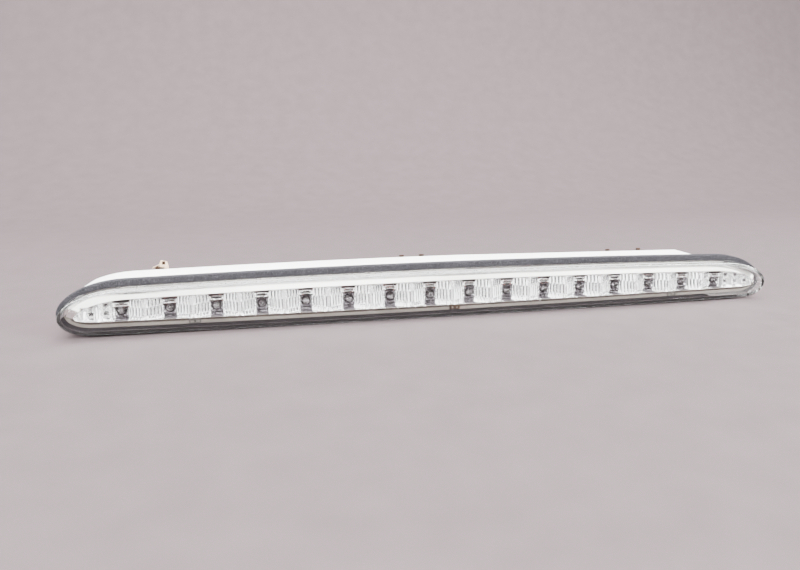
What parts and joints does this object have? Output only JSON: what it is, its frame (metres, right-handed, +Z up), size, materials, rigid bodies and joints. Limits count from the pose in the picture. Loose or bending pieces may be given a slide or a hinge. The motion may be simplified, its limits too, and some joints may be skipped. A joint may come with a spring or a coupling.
{
  "type": "third brake light",
  "caption": "Long slim third brake light with a clear D-ended lens, a row of light sources in a faceted reflector, a foam gasket and a white rear housing with spring clips.",
  "frame": {"origin": "under the middle of the lamp's box, on the surface that its lower edge stands on", "axes": "+X along the lamp, -Y the way the light shines, +Z up"},
  "size_m": [0.579, 0.0712, 0.0448],
  "materials": {
    "clear_lens": "clear moulded polycarbonate, polished",
    "bond": "dark adhesive bead",
    "foam": "closed-cell foam",
    "white_shell": "white moulded plastic",
    "metallised": "vacuum-metallised plastic",
    "board": "white solder mask",
    "component_black": "moulded component bodies",
    "lead_red": "insulated wire",
    "contact_metal": "tinned brass blades",
    "screw_steel": "zinc-plated steel",
    "rim_steel": "plated spring steel",
    "rim_brass": "yellow-passivated spring steel",
    "cap_rubber": "black rubber",
    "led_clear": "lightly smoked clear epoxy",
    "zinc_yellow": "yellow-passivated spring steel"
  },
  "bodies": {
    "lamp": {"outer_lens": "clear_lens", "lens_bond": "bond", "gasket": "foam", "rear_housing": "white_shell", "reflector": "metallised", "led_01": "led_clear", "led_02": "led_clear", "led_03": "led_clear", "led_04": "led_clear", "led_05": "led_clear", "led_06": "led_clear", "led_07": "led_clear", "led_08": "led_clear", "led_09": "led_clear", "led_10": "led_clear", "led_11": "led_clear", "led_12": "led_clear", "led_13": "led_clear", "led_14": "led_clear", "led_15": "led_clear", "led_16": "led_clear", "circuit_board": "board", "resistors": "component_black", "polarity_diode": "component_black", "inner_leads": "lead_red", "contact_blades": "contact_metal", "board_screws": "screw_steel", "rim_clip_left": "rim_steel", "rim_clip_centre": "rim_brass", "rim_clip_right": "rim_steel", "vent_cap": "cap_rubber", "clip_foot_left": "zinc_yellow", "clip_foot_centre": "zinc_yellow", "clip_foot_right": "zinc_yellow"},
    "tongue_left": {"clip_tongue_left": "zinc_yellow"},
    "tongue_centre": {"clip_tongue_centre": "zinc_yellow"},
    "tongue_right": {"clip_tongue_right": "zinc_yellow"}
  },
  "joints": [
    {"name": "clip_left_flex", "type": "hinge", "parent": "lamp", "child": "tongue_left", "pos_m": [-0.222, 0.02715, 0.03394], "axis": [-1, 0, 0], "range_deg": [0, 18], "stiffness_Nm_per_rad": 0.02},
    {"name": "clip_centre_flex", "type": "hinge", "parent": "lamp", "child": "tongue_centre", "pos_m": [-0.021, 0.02705, 0.03638], "axis": [-1, 0, 0], "range_deg": [0, 7], "stiffness_Nm_per_rad": 0.02},
    {"name": "clip_right_flex", "type": "hinge", "parent": "lamp", "child": "tongue_right", "pos_m": [0.182, 0.02705, 0.03474], "axis": [-1, 0, 0], "range_deg": [0, 7], "stiffness_Nm_per_rad": 0.02}
  ]
}
